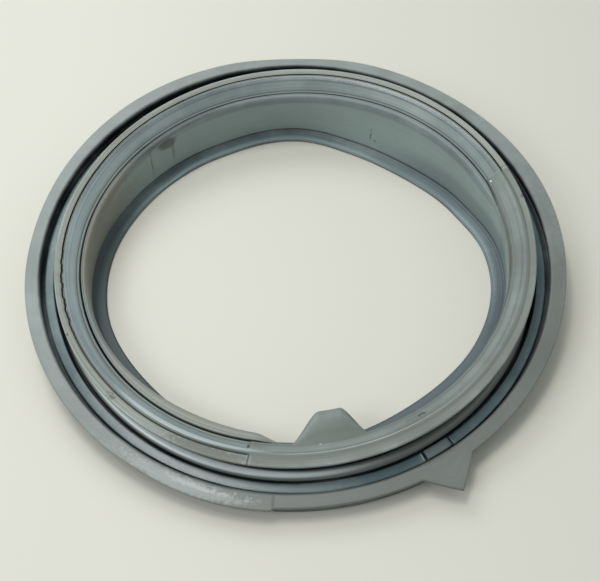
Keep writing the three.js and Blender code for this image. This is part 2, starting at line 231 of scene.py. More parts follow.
fold_floor(CREST_OUTER + FOLD_GAP, CREST_OUTER, 0, FOLD_SHADE)
bulb = (CREST_MIDDLE + CREST_BULGE, CREST_HALF, CREST_BULGE - CREST_DROP)
crest(*bulb, (15,))
crest(*bulb, range(30, 151, 15), CREST_GREY, "crest")
fold_floor(CREST_INNER, NECK_RADIUS, 0, FOLD_SHADE)


# Head: the raised ring that hangs over the folds. Its flat outer band is grimy. Inside it
# run a slit, torn at the left, and a fine line, and a slope in two steps leads down to the
# collar. Both cuts stop at the plain arc, from left of the flap to the far right.
HEAD_RISE = 10.3
HEAD_OVERHANG = 8
HEAD_EDGE = 3.8
HEAD_WIDTH = 16.7
HEAD_BAND = 5
HEAD_BAND_DROP = 1.9
HEAD_LEAN = 5.5
HEAD_ROLL = 1
HEAD_OVAL = 0.9
HEAD_OVAL_AT = 15
HEAD_SPREAD = 2.6
NEAR_SIDE = 270
SLIT_RAMP = 0.5
SLIT_DEPTH = 2.2
SLIT_WIDTH = 1.5
FINE_LINE_DEPTH = 0.4
FINE_LINE_WIDTH = 0.5
FINE_LINE_INSET = 1.2
TORN_FROM = 182
TORN_TO = 204
TORN_DEPTH = 0.4
LEDGE_INSET = 9.6
LEDGE_DROP = 3.4
LEDGE_STEP = 1.1
PLAIN_FROM = 259.2
PLAIN_TO = 379.2
PLAIN_STEP = 1.4
PLAIN_RAMP = 0.3
HEAD_RADIUS = NECK_RADIUS + HEAD_OVERHANG
# The head's edge tone is painted shade: its edge face under the overhang, darker than its band.
HEAD_EDGE_GREY = (0.1, 0.12, 0.12)
HEAD_GREY = (0.17, 0.19, 0.175)
SLOPE_GREY = (0.112, 0.142, 0.148)
INNER_SLOPE_GREY = (0.18, 0.222, 0.212)
planes["head"] = (RIM_HEIGHT + HEAD_RISE, HEAD_LEAN, HEAD_ROLL, 0)


def slit_wander(angle):
    """A few sharp steps where the slit's edge was torn, with an easy waver beside them."""
    torn = between(angle, TORN_FROM, TORN_TO, 8)
    steps = math.sin(angle * 1.3) + 0.7 * math.sin(angle * 3.1)
    return torn * min(max(steps, -0.8), 0.8) + 0.25 * math.sin(math.radians(angle * 11))


def oval(angle):
    """The head is drawn out towards one side and its opposite."""
    return math.cos(2 * math.radians(angle - HEAD_OVAL_AT))


def panel_share(angle):
    """The plain arc stands a step higher, with a ramp just beyond each end of the slits."""
    return between(angle, PLAIN_FROM - PLAIN_RAMP, PLAIN_TO + PLAIN_RAMP, PLAIN_RAMP)


def slit_share(angle):
    """The slits are cut all the way round but for the plain arc."""
    return 1 - between(angle, PLAIN_FROM, PLAIN_TO, SLIT_RAMP)


pushes["Head Oval"] = (HEAD_OVAL, oval)
pushes["Slit Wander"] = (TORN_DEPTH, slit_wander)
pushes["Head Spread"] = (HEAD_SPREAD, lambda angle: swell(angle, NEAR_SIDE, 95))
lifts["Panel Step"] = (PLAIN_STEP, panel_share)
lifts["Slit Depth"] = (-1, slit_share)
for end, side in ((PLAIN_FROM, -1), (PLAIN_TO - 360, 1)):
    corners += [end - SLIT_RAMP / 2, end + SLIT_RAMP / 2, end + side * 1.5 * PLAIN_RAMP]

slit = HEAD_RADIUS - HEAD_BAND
ledge = HEAD_RADIUS - LEDGE_INSET
# The darkness of a cut is painted shade, near black on its walls and floor.
CUT_PROFILE = (  # across a cut: share of its width, share of its depth, and how dark it is
    (0.5, 0, 0),
    (0.44, 0.15, 1),
    (0.33, 1, 1),
    (-0.33, 1, 1),
    (-0.44, 0.15, 1),
    (-0.5, 0, 0),
)
ring("head", NECK_RADIUS, -HEAD_EDGE - FOLD_GAP, 1, HEAD_EDGE_GREY, head_oval=1)
ring("head", HEAD_RADIUS - 0.4, -HEAD_EDGE, 1.2, head_oval=1, head_spread=1)
ring("head", HEAD_RADIUS, 0, 1.3, HEAD_GREY, "head", head_oval=1, head_spread=1)
for at, width, depth, drop, dark, torn in (
    (slit, SLIT_WIDTH, SLIT_DEPTH, HEAD_BAND_DROP, 1, 1),
    (slit - FINE_LINE_INSET, FINE_LINE_WIDTH, FINE_LINE_DEPTH, HEAD_BAND_DROP + 0.2, 0.6, 0.3),
):
    moves = {"head_oval": 1, "slit_wander": torn}
    for off, share, shade in CUT_PROFILE:
        cut = {"hollow": dark * shade, "slit_depth": depth * share}
        ring("head", at + off * width, -drop, **cut, **moves)
ring("head", slit - 1.7, -2.2, 0.3, SLOPE_GREY, "slope", gloss=0.9, head_oval=1)
ring("head", ledge, -LEDGE_DROP, 0.5, head_oval=1)
panel = {"head_oval": 1, "panel_step": 1}
inner_slope = {"tone": INNER_SLOPE_GREY, "at": "inner slope", "gloss": 0.6}
ring("head", ledge - LEDGE_STEP / 2, -LEDGE_DROP - LEDGE_STEP, 0.5, **inner_slope, **panel)


# Collar: the head's inner edge, from which the flap reaches inwards over the near side. A
# second slit cuts it loose from the roll at the top of the sleeve.
COLLAR_DROP = 9.1
COLLAR_BEVEL = 2.4
COLLAR_LEAN = 4.8
COLLAR_ROLL = 1.2
COLLAR_SLIT = 1.3
COLLAR_SLIT_DEPTH = 5
FLAP_FROM = 268.6
FLAP_TOP_FROM = 276
FLAP_TOP_TO = 281.2
FLAP_TO = 286.4
FLAP_REACH = 19
FLAP_RISE = 5
FLAP_THICKNESS = 2.4
ROLL_WIDTH = 4.4
ROLL_STAND = 3.6
ROLL_SAG = 3.4
ROLL_SAG_AT = 243
ROLL_FADE = 9
UNDER_COLLAR = -FLAP_THICKNESS - EDGE_ROUND
COLLAR_RADIUS = HEAD_RADIUS - HEAD_WIDTH
ROLL_RADIUS = COLLAR_RADIUS - COLLAR_SLIT + 0.4
COLLAR_GREY = (0.14, 0.172, 0.165)
ROLL_GREY = (0.14, 0.18, 0.178)
planes["collar"] = (RIM_HEIGHT + HEAD_RISE - COLLAR_DROP, COLLAR_LEAN, COLLAR_ROLL, 0)


def eased(value, first, last):
    """A share from 0 to 1 between two values, slow at both ends."""
    share = min(max((value - first) / (last - first), 0), 1)
    return share * share * (3 - 2 * share)


def flap_share(angle):
    """Hollow at the flap's feet and rounded at its shoulders."""
    left = (angle - FLAP_FROM) / (FLAP_TOP_FROM - FLAP_FROM)
    right = (FLAP_TO - angle) / (FLAP_TO - FLAP_TOP_TO)
    return math.sin(math.pi / 2 * min(max(min(left, right), 0), 1) ** 1.25)


def roll_share(angle):
    """The roll fades out at each end of the plain arc."""
    half_fade = ROLL_FADE / 2
    return eased(1 - between(angle, PLAIN_FROM + half_fade, PLAIN_TO - half_fade, ROLL_FADE), 0, 1)


pushes["Flap Reach"] = (-FLAP_REACH, flap_share)
lifts["Flap Rise"] = (FLAP_RISE, flap_share)
pushes["Roll Width"] = (-ROLL_WIDTH, roll_share)
pushes["Roll Set"] = (-ROLL_SAG, lambda angle: swell(angle, ROLL_SAG_AT, 42) * roll_share(angle))
lifts["Roll Rise"] = (ROLL_STAND, roll_share)
corners += [FLAP_FROM, FLAP_TOP_FROM, FLAP_TOP_TO, FLAP_TO]

# Hollow rings below, at the collar's line, its slit and the roll's line, are painted shade.
ring("collar", COLLAR_RADIUS + COLLAR_BEVEL, 0.9, 0.4, COLLAR_GREY, "collar", **panel)
ring("collar", COLLAR_RADIUS + 1.9, 0.4, 0, hollow=0.6, slit_depth=0.4, **panel)
ring("collar", COLLAR_RADIUS + 1.5, 0.4, 0, **panel)
ring("collar", COLLAR_RADIUS + 0.9, 0.25, 0, flap_reach=0.35, flap_rise=0.25, **panel)
ring("collar", COLLAR_RADIUS + 0.2, 0, 0.5, SHADED_GREY, flap_reach=1, flap_rise=1, **panel)
ring("collar", COLLAR_RADIUS, -FLAP_THICKNESS, 0.5, head_oval=1, flap_reach=1, flap_rise=1)
for at in (COLLAR_RADIUS - 0.3, ROLL_RADIUS + 0.2):
    ring("collar", at, UNDER_COLLAR, hollow=1, head_oval=1, slit_depth=COLLAR_SLIT_DEPTH)
ring("collar", ROLL_RADIUS, UNDER_COLLAR, 0.5, ROLL_GREY, "roll", head_oval=1, roll_rise=1)
for share, drop, corner, dark in (  # share of the roll's width, and millimetres under its top
    (0.2, 0.1, 0, 0),
    (0.27, 0.5, 0, 0.4),
    (0.34, 0.2, 0, 0),
    (0.75, 0.7, 1.3, 0),
    (1, 2.8, 1.2, 0),
):
    moves = {"head_oval": 1, "roll_width": share, "roll_set": share}
    moves["roll_rise"] = 1 - drop / 4 / ROLL_STAND
    ring("collar", ROLL_RADIUS - 0.1, UNDER_COLLAR - drop, corner, hollow=dark, **moves)


# Sleeve: a bare wall that hangs from the roll, creased where the seal was bent. At its foot
# a bead and a thin soft lip, which seals on the door's glass and has bulged in storage.
SLEEVE_WALL = 2.4
SHOULDER_RUN = 6.3
CREASE_DEPTH = 5.5
CREASE_FROM = 130.3
CREASE_AT = 138.6
CREASE_TO = 139.6
KINK_DEPTH = 4.6
KINK_AT = 135.4
BEAD_INSET = 2.7
BEAD_WIDTH = 2.6
BEAD_HEIGHT = 4.2
LIP_WIDTH = 10.4
LIP_THICKNESS = 1.5
BEAD_RADIUS = COLLAR_RADIUS - BEAD_INSET
LIP_RADIUS = BEAD_RADIUS - LIP_WIDTH
WALL_GREY = (0.225, 0.285, 0.275)
# The bead's tone is painted shade: darker where it sits in shadow at the wall's foot.
BEAD_SHADE = (0.06, 0.088, 0.09)
LIP_GREY = (0.095, 0.142, 0.155)
LINE_GREY = (0.24, 0.3, 0.3)
planes["floor"] = (0, 0, 0, 0)
lip_bulges = ((20, 14, -2), (50, 38, -7.6), (92, 24, 5.6), (112, 20, 1), (150, 30, -1.3))
lip_bulges += ((221, 29, -2.9), (303, 28, -3.2), (356, 40, 5.4))
pushes["Lip Set"] = (1, swells(*lip_bulges))
pushes["Lip Kink"] = (-KINK_DEPTH, lambda angle: swell(angle, KINK_AT, 10.5))
crease = (CREASE_FROM, CREASE_AT, CREASE_TO)
pushes["Wall Crease"] = (CREASE_DEPTH, lambda angle: peak(angle, *crease))
corners += crease


def part_way(first, last, share):
    """A ring's values between those of two others."""
    names = first.keys() | last.keys()
    return {n: first.get(n, 0) * (1 - share) + last.get(n, 0) * share for n in names}


sleeve_head = section[-1][1]
ring("floor", BEAD_RADIUS - EDGE_ROUND, BEAD_HEIGHT + 2.6, 0.5, SHADED_GREY, lip_set=1)
sleeve_foot = section.pop()[1]
for share, at in ((0.14, "wall"), (0.3, ""), (0.48, ""), (0.66, ""), (0.84, "")):
    wall = part_way(sleeve_head, sleeve_foot, share)
    wall.update(zip(TONE, WALL_GREY))
    wall.update({"corner": 0, "Wall Crease": 1 - share})
    section.append((at, wall))
section.append(("", sleeve_foot))
ring("floor", BEAD_RADIUS + 0.2, BEAD_HEIGHT + 1.5, 0.3, lip_set=1)
ring("floor", BEAD_RADIUS, BEAD_HEIGHT + 0.5, 0.5, BEAD_SHADE, "bead", gloss=0.4, lip_set=1)
ring("floor", BEAD_RADIUS - 1.4, BEAD_HEIGHT, 0.6, lip_set=1, lip_kink=0.2)
lip_foot = {"tone": LIP_GREY, "at": "lip", "lip_set": 1, "lip_kink": 1}
ring("floor", BEAD_RADIUS - BEAD_WIDTH, BEAD_HEIGHT - 1.4, 0.7, **lip_foot)
ring("floor", LIP_RADIUS + 2, LIP_THICKNESS + 0.25, 0, LINE_GREY, lip_set=1, lip_kink=0.2)
ring("floor", LIP_RADIUS + 1.4, LIP_THICKNESS, 0, LIP_GREY, lip_set=1, lip_kink=0.15)
ring("floor", LIP_RADIUS, LIP_THICKNESS, 0.6, SHADED_GREY, lip_set=1)
ring("floor", LIP_RADIUS, 0, 0.6, lip_set=1)


# Hidden side: the back of the sleeve, the head, the folds and the step, a wall away from
# the front, bare and duller where nothing has rubbed it.
BACK_GREY = (0.12, 0.15, 0.145)
ring("floor", BEAD_RADIUS - 0.8, 0, 0.8, BACK_GREY, lip_set=1)
ring("floor", BEAD_RADIUS - 1 + SLEEVE_WALL, 2, 0.8, lip_set=1)
sleeve_back = {**sleeve_head, **dict(zip(TONE, BACK_GREY)), "Wall Crease": 0.79, "corner": 1.5}
sleeve_back["radius"] += SLEEVE_WALL
sleeve_back["height"] -= SHOULDER_RUN
section.append(("", sleeve_back))
ring("collar", COLLAR_RADIUS + 2 * SLEEVE_WALL, -9.4, 1.2, head_oval=1)
ring("head", NECK_RADIUS - WALL, -HEAD_EDGE - FOLD_GAP - WALL, 0.8, head_oval=1)
fold_floor(NECK_RADIUS - WALL, CREST_INNER + WALL, -WALL)
crest(CREST_MIDDLE, CREST_WIDTH / 2 - WALL, -CREST_DROP - WALL, (150, 90, 30))
fold_floor(CREST_OUTER - WALL, CREST_OUTER + FOLD_GAP + WALL, -WALL)
ring("rim", STEP_INNER + WALL, -STEP_DROP - WALL - EDGE_ROUND, 0.6)
ring("rim", STEP_OUTER - 2 * EDGE_ROUND, -STEP_DROP - WALL - EDGE_ROUND, 0.5)
ring("rim", STEP_OUTER - EDGE_ROUND, -RIM_DEPTH, 0.6)


def spot(values, angle=110):
    """Where a ring's radius and height come to at an angle away from the local features."""
    radius, height = values["radius"], values["middle"] + values["height"]
    for name, (size, curve) in pushes.items():
        radius += values.get(name, 0) * size * curve(angle)
    for name, (size, curve) in lifts.items():
        height += values.get(name, 0) * size * curve(angle)
    return radius, height


def rounded(rings):
    """The section's closed line, with each corner cut back and eased by one more point. The
    face behind a ring has the tone of that ring."""
    line = []
    for i, (at, here) in enumerate(rings):
        last, after = rings[i - 1][1], rings[(i + 1) % len(rings)][1]
        if here["corner"] == 0:
            line.append((at, here))
            continue
        sides = []
        for other, tone in ((last, last), (after, here)):
            run = math.dist(spot(here), spot(other))
            side = part_way(here, other, min(here["corner"] / max(run, 0.01), 0.45))
            finish = {key: tone.get(key, 0) for key in (*TONE, "gloss")}
            # The edge share paints corners paler: partly wear, partly painted highlight.
            sides.append({**side, **finish, "edge": 0.6})
        line.append((at, sides[0]))
        if here["corner"] >= 0.7:
            middle = part_way(part_way(*sides, 0.5), here, 0.5)
            line.append(("", {**middle, "edge": 1.0}))
        line.append(("", sides[1]))
    return line


line = rounded(section)
along = [0.0]
for (_, here), (_, after) in zip(line, line[1:] + line[:1]):
    along.append(along[-1] + math.dist(spot(here), spot(after)))
section_length = along[-1]
runs = {at: run for (at, _), run in zip(line, along) if at}


# Round the ring: copies of the section stand a degree apart, closer along the near side
# and over the torn slit, with one at each corner of a local feature.
CLOSE_ARCS = ((TORN_FROM, TORN_TO + 1, 0.5), (255, 310, 0.4))  # first and last angle, step
CORNER_ROOM = 0.12
stations = []
for first, last, step in CLOSE_ARCS:
    stations += [first + k * step for k in range(1, round((last - first) / step))]
for degree in range(360):
    if not any(first < degree < last for first, last, _ in CLOSE_ARCS):
        stations.append(degree)
stations = [a for a in stations if all(abs(turn_from(c, a)) > CORNER_ROOM for c in corners)]
stations = sorted(stations + [a % 360 for a in corners])


def put(tree, kind, inputs=None, **settings):
    """Adds a node to a tree, sets it, and links or fills its inputs by name or number."""
    node = tree.nodes.new(kind)
    for name, value in settings.items():
        setattr(node, name, value)
    for key, value in (inputs or {}).items():
        sockets = [s for s in node.inputs if s.enabled]
        socket = sockets[key] if isinstance(key, int) else next(s for s in sockets if s.name == key)
        if isinstance(value, bpy.types.NodeSocket):
            tree.links.new(value, socket)
        else:
            socket.default_value = value
    return next((s for s in node.outputs if s.enabled), None)


def reckon(tree, operation, *values):
    """Adds a Math node and gives its output."""
    return put(tree, "ShaderNodeMath", dict(enumerate(values)), operation=operation)


def combine(tree, x, y, z):
    return put(tree, "ShaderNodeCombineXYZ", {0: x, 1: y, 2: z})


def sweep_tree():
    """Carries the section round: each copy leans with its planes and takes its moves."""
    tree = bpy.data.node_groups.new("Seal swept round", "GeometryNodeTree")
    new_socket = tree.interface.new_socket
    new_socket("Geometry", in_out="INPUT", socket_type="NodeSocketGeometry")
    new_socket("Geometry", in_out="OUTPUT", socket_type="NodeSocketGeometry")
    for name in ("Section Points", "Stations"):
        new_socket(name, in_out="INPUT", socket_type="NodeSocketInt")
    for name in (*pushes, *lifts):
        new_socket(name, in_out="INPUT", socket_type="NodeSocketFloat")
    new_socket("Rubber", in_out="INPUT", socket_type="NodeSocketMaterial")
    given = tree.nodes.new("NodeGroupInput").outputs
    points, copies = given["Section Points"], given["Stations"]
    rows = reckon(tree, "ADD", points, 1)
    columns = reckon(tree, "ADD", copies, 1)
    grid = put(tree, "GeometryNodeMeshGrid", {"Vertices X": columns, "Vertices Y": rows})
    index = put(tree, "GeometryNodeInputIndex")
    column = reckon(tree, "FLOOR", reckon(tree, "DIVIDE", reckon(tree, "ADD", index, 0.5), rows))
    row = reckon(tree, "SUBTRACT", index, reckon(tree, "MULTIPLY", column, rows))
    last_row = reckon(tree, "COMPARE", row, points, 0.5)
    last_column = reckon(tree, "COMPARE", column, copies, 0.5)
    row_at = reckon(tree, "SUBTRACT", row, reckon(tree, "MULTIPLY", last_row, points))
    turn = reckon(tree, "SUBTRACT", column, reckon(tree, "MULTIPLY", last_column, copies))
    station_at = reckon(tree, "ADD", points, turn)

    def taken(name, at):
        value = put(tree, "GeometryNodeInputNamedAttribute", {"Name": name}, data_type="FLOAT")
        wanted = {"Geometry": given["Geometry"], "Value": value, "Index": at}
        return put(tree, "GeometryNodeSampleIndex", wanted, data_type="FLOAT", domain="POINT")

    def total(names, start):
        for name in names:
            share = reckon(tree, "MULTIPLY", taken(name, row_at), taken(name, station_at))
            start = reckon(tree, "MULTIPLY_ADD", share, given[name], start)
        return start

    radius = total(pushes, taken("radius", row_at))
    height = total(lifts, taken("height", row_at))
    angle = taken("angle", station_at)
    east = reckon(tree, "MULTIPLY", radius, reckon(tree, "COSINE", angle))
    north = reckon(tree, "MULTIPLY", radius, reckon(tree, "SINE", angle))
    flat = combine(tree, east, north, height)
    rolled = {"Vector": flat, "Angle": reckon(tree, "MULTIPLY", taken("roll", row_at), -1)}
    rolled = put(tree, "ShaderNodeVectorRotate", rolled, rotation_type="Y_AXIS")
    leaned = {"Vector": rolled, "Angle": taken("lean", row_at)}
    leaned = put(tree, "ShaderNodeVectorRotate", leaned, rotation_type="X_AXIS")
    middle = combine(tree, 0.0, taken("slide", row_at), taken("middle", row_at))
    place = put(tree, "ShaderNodeVectorMath", {0: leaned, 1: middle}, operation="ADD")
    skin = put(tree, "GeometryNodeSetPosition", {"Geometry": grid, "Position": place})

    full_turn = reckon(tree, "MULTIPLY", last_column, 2 * math.pi)
    round_share = reckon(tree, "DIVIDE", reckon(tree, "ADD", angle, full_turn), 2 * math.pi)
    along_share = reckon(tree, "ADD", taken("along", row_at), last_row)
    # Painted shade in the cuts: each ring's hollow share, weaker where the slits are filled in.
    filled = reckon(tree, "MULTIPLY_ADD", taken("Slit Depth", station_at), 0.7, 0.3)
    cut = reckon(tree, "MULTIPLY", taken("hollow", row_at), filled)
    place_on_skin = combine(tree, round_share, along_share, 0.0)
    # Carried on: edge share (pale edges, painted highlight), cuts' painted shade, and gloss.
    edge_cut_gloss = combine(tree, taken("edge", row_at), cut, taken("gloss", row_at))
    tone = combine(tree, *(taken(key, row_at) for key in TONE))
    for name, value, kind, domain in (
        ("UVMap", place_on_skin, "FLOAT2", "CORNER"),
        ("edge_cut_gloss", edge_cut_gloss, "FLOAT_VECTOR", "POINT"),
        ("tone", tone, "FLOAT_VECTOR", "POINT"),
    ):
        carried = {"Geometry": skin, "Name": f"{name} carried", "Value": value}
        store = "GeometryNodeStoreNamedAttribute"
        skin = put(tree, store, carried, data_type="FLOAT_VECTOR", domain="POINT")
        read = {"Name": f"{name} carried"}
        value = put(tree, "GeometryNodeInputNamedAttribute", read, data_type="FLOAT_VECTOR")
        stored = {"Geometry": skin, "Name": name, "Value": value}
        skin = put(tree, store, stored, data_type=kind, domain=domain)
        skin = put(tree, "GeometryNodeRemoveAttribute", {"Geometry": skin, **read})
    skin = put(tree, "GeometryNodeMergeByDistance", {"Geometry": skin, "Distance": 0.00001})
    skin = put(tree, "GeometryNodeSetShadeSmooth", {"Geometry": skin})
    skin = put(tree, "GeometryNodeRealizeInstances", {"Geometry": skin})
    skin = put(tree, "GeometryNodeSetMaterial", {"Geometry": skin, "Material": given["Rubber"]})
    tree.links.new(skin, tree.nodes.new("NodeGroupOutput").inputs[0])
    return tree


def seal_values():
    """Attributes of the points that the sweep reads: the section first, then the stations."""
    curves = {name: curve for name, (_, curve) in (*pushes.items(), *lifts.items())}
    columns = {}
    for name in ("lean", "roll"):
        columns[name] = [math.radians(here[name]) for _, here in line]
    for name in ("radius", "height", "middle", "slide"):
        columns[name] = [here[name] * MM for _, here in line]
    for name in (*TONE, "edge", "hollow", "gloss", *curves):
        columns[name] = [here.get(name, 0.0) for _, here in line]
    columns["along"] = [run / section_length for run in along[:-1]]
    for name, values in columns.items():
        values += [curves[name](a) if name in curves else 0.0 for a in stations]
    columns["angle"] = [0.0] * len(line) + [math.radians(a) for a in stations]
    return columns


def swept_seal(rubber):
    """Makes the seal's piece: the sweep's result as a plain mesh, with nothing left live."""
    mesh = bpy.data.meshes.new("section and stations")
    mesh.from_pydata([(0, 0, 0)] * (len(line) + len(stations)), [], [])
    for name, values in seal_values().items():
        mesh.attributes.new(name, "FLOAT", "POINT").data.foreach_set("value", values)
    source = bpy.data.objects.new("section and stations", mesh)
    bpy.context.scene.collection.objects.link(source)
    tree = sweep_tree()
    sweep = source.modifiers.new("sweep", "NODES")
    sweep.node_group = tree
    sizes = {"Section Points": len(line), "Stations": len(stations), "Rubber": rubber}
    moves = (*pushes.items(), *lifts.items())
    sizes.update({name: millimetres * MM for name, (millimetres, _) in moves})
    for item in tree.interface.items_tree:
        if item.in_out == "INPUT" and item.name in sizes:
            sweep[item.identifier] = sizes[item.name]
    flats = source.modifiers.new("flats keep their shading", "WEIGHTED_NORMAL")
    flats.weight = 60
    graph = bpy.context.evaluated_depsgraph_get()
    finished = bpy.data.meshes.new_from_object(
        source.evaluated_get(graph), preserve_all_data_layers=True, depsgraph=graph
    )
    finished.name = "moulded_seal"
    bpy.data.objects.remove(source)
    piece = bpy.data.objects.new("moulded_seal", finished)
    bpy.context.scene.collection.objects.link(piece)
    return piece


# The rubber: a grey compound with a satin skin, with grime on the head, and scuffs and nicks
# from its use. Its edges are paler, partly rubbed and partly a painted highlight. The roll's
# cream tone is partly a film and partly painted light. The widest marks aren't dirt: they are
# painted light and shade, lightening or darkening a band as sheen and shade do on the real
# one, and some small marks are painted highlights and shade.
GRIME = (0.265, 0.282, 0.25, 1)
SPECK_GREY = (0.07, 0.07, 0.055, 1)
# Pale edges: partly rubbed, partly a painted highlight along the rounded edges.
RUBBED_AND_HIGHLIT = (0.4, 0.46, 0.45, 1)
# Painted shade: near black in the floors of the cuts.
CUT_SHADE = (0.012, 0.014, 0.014, 1)
PLAIN_GREY = (0.105, 0.122, 0.106, 1)
GRAIN_SCALE = 900
# Marks, and patches of painted highlight, sheen and shade, each an oval on one band.
MARKS_AND_PAINTED_SHADING = (
    # angle, band, millimetres past its start, half its degrees, half its millimetres,
    # how ragged its rim is, strength, colour
    # painted shade: the flange darker over the near and right side
    (300, "flange", 6, 85, 14, 0.2, 0.75, (0.108, 0.115, 0.1)),
    # partly scuffing, partly painted sheen: the flange paler at the near left
    (247, "flange", 5.5, 17, 6, 0.7, 0.3, (0.5, 0.53, 0.52)),
    (250, "flange", 7, 9, 2, 1.6, 0.25, (0.6, 0.64, 0.63)),
    (265.1, "flange", 6, 0.35, 7, 0.1, 0.7, (0.06, 0.07, 0.07)),
    (299.7, "step", 4, 3.1, 12, 0.05, 0.8, (0.12, 0.138, 0.135)),
    # painted highlight on the edge of the block's left cut
    (296, "step", 4.4, 0.16, 4, 0, 0.8, (0.5, 0.56, 0.56)),
    # painted shade: near black in the block's two cuts
    (296.5, "step", 4.4, 0.3, 6, 0, 0.98, (0.004, 0.005, 0.005)),
    (302.9, "step", 4.4, 0.3, 6, 0, 0.98, (0.004, 0.005, 0.005)),
    # painted highlight along the crest's outer shoulder at the near left
    (237, "crest", -4.6, 60, 3.4, 0, 0.95, (0.75, 0.82, 0.83)),
    (317.2, "head", 6.8, 1.1, 0.6, 0.2, 0.9, (0.015, 0.018, 0.018)),
    (9.8, "head", 1.7, 0.7, 1, 0.4, 0.8, (0.03, 0.03, 0.03)),
    (206, "head", 1.7, 0.5, 0.9, 0.4, 0.95, (0.11, 0.065, 0.025)),
    (225.3, "head", 2.6, 1.3, 1.6, 2.2, 0.6, (0.06, 0.06, 0.055)),
    (251, "head", 2.4, 13, 4.5, 0.9, 0.75, (0.12, 0.126, 0.113)),
    (259.4, "head", 3.2, 0.2, 5, 0.1, 0.85, (0.04, 0.05, 0.05)),
    # painted highlight at the slit's rounded end
    (259.9, "head", 2.6, 0.3, 4, 0.3, 0.3, (0.35, 0.38, 0.36)),
    (20.1, "head", 3.2, 0.16, 6, 0.1, 0.8, (0.05, 0.06, 0.06)),
    # painted sheen: the slope lighter and bluer on the left
    (198, "slope", 3.5, 52, 6, 0.1, 0.4, (0.3, 0.35, 0.385)),
    # painted highlight on the outer slope at the near left
    (243, "slope", 2, 24, 2.2, 0, 0.7, (0.48, 0.54, 0.55)),
    (285, "slope", 0.9, 27, 0.5, 0, 0.6, (0.3, 0.34, 0.33)),
    (288, "slope", 2.1, 30, 0.35, 0, 0.6, (0.05, 0.06, 0.06)),
    (345, "slope", 0.4, 38, 0.7, 0, 0.55, (0.045, 0.065, 0.07)),
    (350, "slope", 4.6, 38, 0.9, 0, 0.4, (0.06, 0.08, 0.085)),
    (299.7, "slope", 6.4, 1.2, 2.2, 1.6, 0.8, (0.03, 0.033, 0.03)),
    (297, "slope", 6.8, 3, 0.8, 0.9, 0.5, (0.05, 0.055, 0.05)),
    # painted highlight: a glint at the notch by the slits' end
    (18.4, "collar", 1.2, 0.35, 1.2, 0.2, 0.9, (0.8, 0.83, 0.83)),
    # painted shade in the notch where the collar's slit ends
    (258.8, "slope", 6.5, 0.55, 3.5, 0, 0.85, (0.03, 0.035, 0.035)),
    (275.1, "collar", 0.9, 0.4, 0.6, 0.4, 0.9, (0.75, 0.75, 0.7)),
    # partly a cream film, partly painted light: the roll paler on its lit near-left side
    (240, "roll", 3.5, 38, 7, 0.3, 0.8, (0.235, 0.242, 0.212)),
    (136, "lip", 1.2, 9, 0.5, 0, 0.5, (0.05, 0.07, 0.075)),
    # painted light: the inner slope lighter on the left
    (172, "inner slope", 2, 60, 5, 0, 0.35, (0.38, 0.45, 0.46)),
    # painted shade on the roll and the wall's top over the far left
    (133, "roll", 2.5, 30, 5, 0.1, 0.6, (0.05, 0.06, 0.055)),
    # painted shade: the roll darker and browner on the left
    (172, "roll", 5, 34, 9, 0.2, 0.85, (0.15, 0.15, 0.12)),
    (63.3, "wall", 15, 0.35, 4.5, 2.2, 0.7, (0.07, 0.08, 0.06)),
    (61.6, "wall", 17, 0.9, 0.7, 1.8, 0.7, (0.07, 0.08, 0.06)),
    (1.5, "wall", 8.3, 5, 9, 0.5, 0.3, (0.07, 0.085, 0.08)),
    # painted shade: the right wall darker and bluer towards its foot
    (8, "wall", 21, 62, 15, 0.1, 0.45, (0.07, 0.1, 0.115)),
    # painted shade and light on the wall's crease: dark sharp edge, pale facet, dark beside it
    (139.3, "wall", 6, 0.5, 11, 0.1, 0.6, (0.05, 0.06, 0.056)),
    (137, "wall", 7, 2.2, 9, 0.1, 0.35, (0.3, 0.36, 0.35)),
    (132.5, "wall", 0.5, 4, 6, 0.2, 0.75, (0.045, 0.053, 0.05)),
    (130.8, "wall", 8, 0.8, 12, 0.1, 0.4, (0.06, 0.07, 0.066)),
    # painted shade: the wall darker and browner on the left
    (180, "wall", 11, 44, 24, 0.2, 0.8, (0.16, 0.16, 0.128)),
    # painted shade on the lip at the left, below the wall
    (198, "lip", 3, 66, 14, 0.1, 0.9, (0.026, 0.042, 0.046)),
    (42, "lip", 3, 26, 7, 0.1, 0.5, (0.06, 0.095, 0.105)),
    # painted shade on the bead and lip along the near right
    (305, "bead", 4, 85, 12, 0.1, 0.8, (0.035, 0.052, 0.064)),
)


def new_group(name, inputs, outputs):
    group = bpy.data.node_groups.new(name, "ShaderNodeTree")
    for direction, sockets in (("INPUT", inputs), ("OUTPUT", outputs)):
        for label in sockets:
            kind = "NodeSocketVector" if label == "Position" else "NodeSocketFloat"
            group.interface.new_socket(label, in_out=direction, socket_type=kind)
    given = group.nodes.new("NodeGroupInput").outputs
    return group, given, group.nodes.new("NodeGroupOutput").inputs


def place_on_seal():
    """Angle in degrees and run along the section in millimetres, from the seal's UV map."""
    group, _, out = new_group("Place on the seal", (), ("Angle", "Run"))
    uv = group.nodes.new("ShaderNodeUVMap")
    uv.uv_map = "UVMap"
    split = group.nodes.new("ShaderNodeSeparateXYZ")
    group.links.new(uv.outputs[0], split.inputs[0])
    group.links.new(reckon(group, "MULTIPLY", split.outputs[0], 360), out["Angle"])
    group.links.new(reckon(group, "MULTIPLY", split.outputs[1], section_length), out["Run"])
    return group


